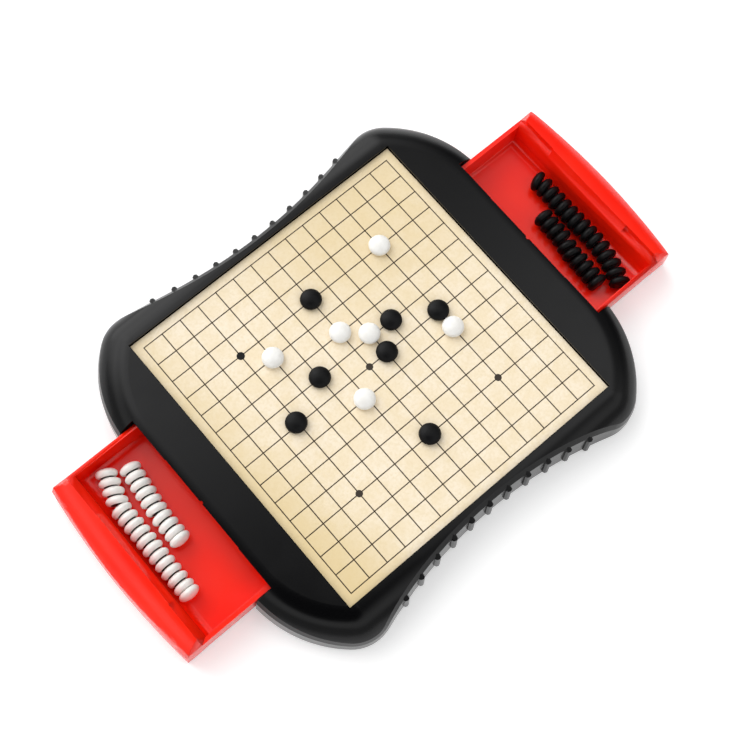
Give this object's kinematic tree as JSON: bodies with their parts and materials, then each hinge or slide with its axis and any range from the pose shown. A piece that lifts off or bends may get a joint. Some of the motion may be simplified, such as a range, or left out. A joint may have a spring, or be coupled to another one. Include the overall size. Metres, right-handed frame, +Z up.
{
  "type": "magnetic travel go set",
  "caption": "Travel go set: waisted black case with a magnetic square-lined board on top, a red drawer at each end, and black and white domed stones on the board and in the drawers",
  "frame": {"origin": "centre of the case's flat underside, on the table", "axes": "+X along the case through both drawers, toward the black stones' drawer; +Y across the case; +Z up"},
  "size_m": [0.2642, 0.1682, 0.0214],
  "materials": {
    "black_case_plastic": "smooth moulded black plastic with a soft gloss",
    "red_drawer_plastic": "glossy moulded red plastic",
    "printed_sheet": "satin printed sheet, wood coloured, with dark lines",
    "steel_sheet": "plain steel sheet under the printed sheet",
    "zinc_screws": "zinc plated steel",
    "white_stone_plastic": "smooth white plastic",
    "black_stone_plastic": "smooth black plastic",
    "ferrite_magnet": "dull dark grey ferrite"
  },
  "bodies": {
    "case": {"upper_case": "black_case_plastic", "lower_case": "black_case_plastic", "case_screws": "zinc_screws", "steel_plate": "steel_sheet", "playing_sheet": "printed_sheet"},
    "white_drawer_body": {"white_drawer": "red_drawer_plastic", "white_stones_front_row": "white_stone_plastic", "white_stones_back_row": "white_stone_plastic"},
    "black_drawer_body": {"black_drawer": "red_drawer_plastic", "black_stones_front_row": "black_stone_plastic", "black_stones_back_row": "black_stone_plastic"},
    "white_stone_1_body": {"white_stone_1": "white_stone_plastic", "white_stone_magnet_1": "ferrite_magnet"},
    "white_stone_2_body": {"white_stone_2": "white_stone_plastic", "white_stone_magnet_2": "ferrite_magnet"},
    "white_stone_3_body": {"white_stone_3": "white_stone_plastic", "white_stone_magnet_3": "ferrite_magnet"},
    "white_stone_4_body": {"white_stone_4": "white_stone_plastic", "white_stone_magnet_4": "ferrite_magnet"},
    "white_stone_5_body": {"white_stone_5": "white_stone_plastic", "white_stone_magnet_5": "ferrite_magnet"},
    "white_stone_6_body": {"white_stone_6": "white_stone_plastic", "white_stone_magnet_6": "ferrite_magnet"},
    "black_stone_1_body": {"black_stone_1": "black_stone_plastic", "black_stone_magnet_1": "ferrite_magnet"},
    "black_stone_2_body": {"black_stone_2": "black_stone_plastic", "black_stone_magnet_2": "ferrite_magnet"},
    "black_stone_3_body": {"black_stone_3": "black_stone_plastic", "black_stone_magnet_3": "ferrite_magnet"},
    "black_stone_4_body": {"black_stone_4": "black_stone_plastic", "black_stone_magnet_4": "ferrite_magnet"},
    "black_stone_5_body": {"black_stone_5": "black_stone_plastic", "black_stone_magnet_5": "ferrite_magnet"},
    "black_stone_6_body": {"black_stone_6": "black_stone_plastic", "black_stone_magnet_6": "ferrite_magnet"},
    "black_stone_7_body": {"black_stone_7": "black_stone_plastic", "black_stone_magnet_7": "ferrite_magnet"}
  },
  "joints": [
    {"name": "white_drawer_slide", "type": "slide", "parent": "case", "child": "white_drawer_body", "axis": [-1, 0, 0], "range_m": [-0.0333, 0.0164]},
    {"name": "black_drawer_slide", "type": "slide", "parent": "case", "child": "black_drawer_body", "axis": [1, 0, 0], "range_m": [-0.0349, 0.0148]},
    {"name": "white_stone_1_lift", "type": "slide", "parent": "case", "child": "white_stone_1_body", "axis": [0, 0, 1], "range_m": [0, 0.03]},
    {"name": "white_stone_2_lift", "type": "slide", "parent": "case", "child": "white_stone_2_body", "axis": [0, 0, 1], "range_m": [0, 0.03]},
    {"name": "white_stone_3_lift", "type": "slide", "parent": "case", "child": "white_stone_3_body", "axis": [0, 0, 1], "range_m": [0, 0.03]},
    {"name": "white_stone_4_lift", "type": "slide", "parent": "case", "child": "white_stone_4_body", "axis": [0, 0, 1], "range_m": [0, 0.03]},
    {"name": "white_stone_5_lift", "type": "slide", "parent": "case", "child": "white_stone_5_body", "axis": [0, 0, 1], "range_m": [0, 0.03]},
    {"name": "white_stone_6_lift", "type": "slide", "parent": "case", "child": "white_stone_6_body", "axis": [0, 0, 1], "range_m": [0, 0.03]},
    {"name": "black_stone_1_lift", "type": "slide", "parent": "case", "child": "black_stone_1_body", "axis": [0, 0, 1], "range_m": [0, 0.03]},
    {"name": "black_stone_2_lift", "type": "slide", "parent": "case", "child": "black_stone_2_body", "axis": [0, 0, 1], "range_m": [0, 0.03]},
    {"name": "black_stone_3_lift", "type": "slide", "parent": "case", "child": "black_stone_3_body", "axis": [0, 0, 1], "range_m": [0, 0.03]},
    {"name": "black_stone_4_lift", "type": "slide", "parent": "case", "child": "black_stone_4_body", "axis": [0, 0, 1], "range_m": [0, 0.03]},
    {"name": "black_stone_5_lift", "type": "slide", "parent": "case", "child": "black_stone_5_body", "axis": [0, 0, 1], "range_m": [0, 0.03]},
    {"name": "black_stone_6_lift", "type": "slide", "parent": "case", "child": "black_stone_6_body", "axis": [0, 0, 1], "range_m": [0, 0.03]},
    {"name": "black_stone_7_lift", "type": "slide", "parent": "case", "child": "black_stone_7_body", "axis": [0, 0, 1], "range_m": [0, 0.03]}
  ]
}
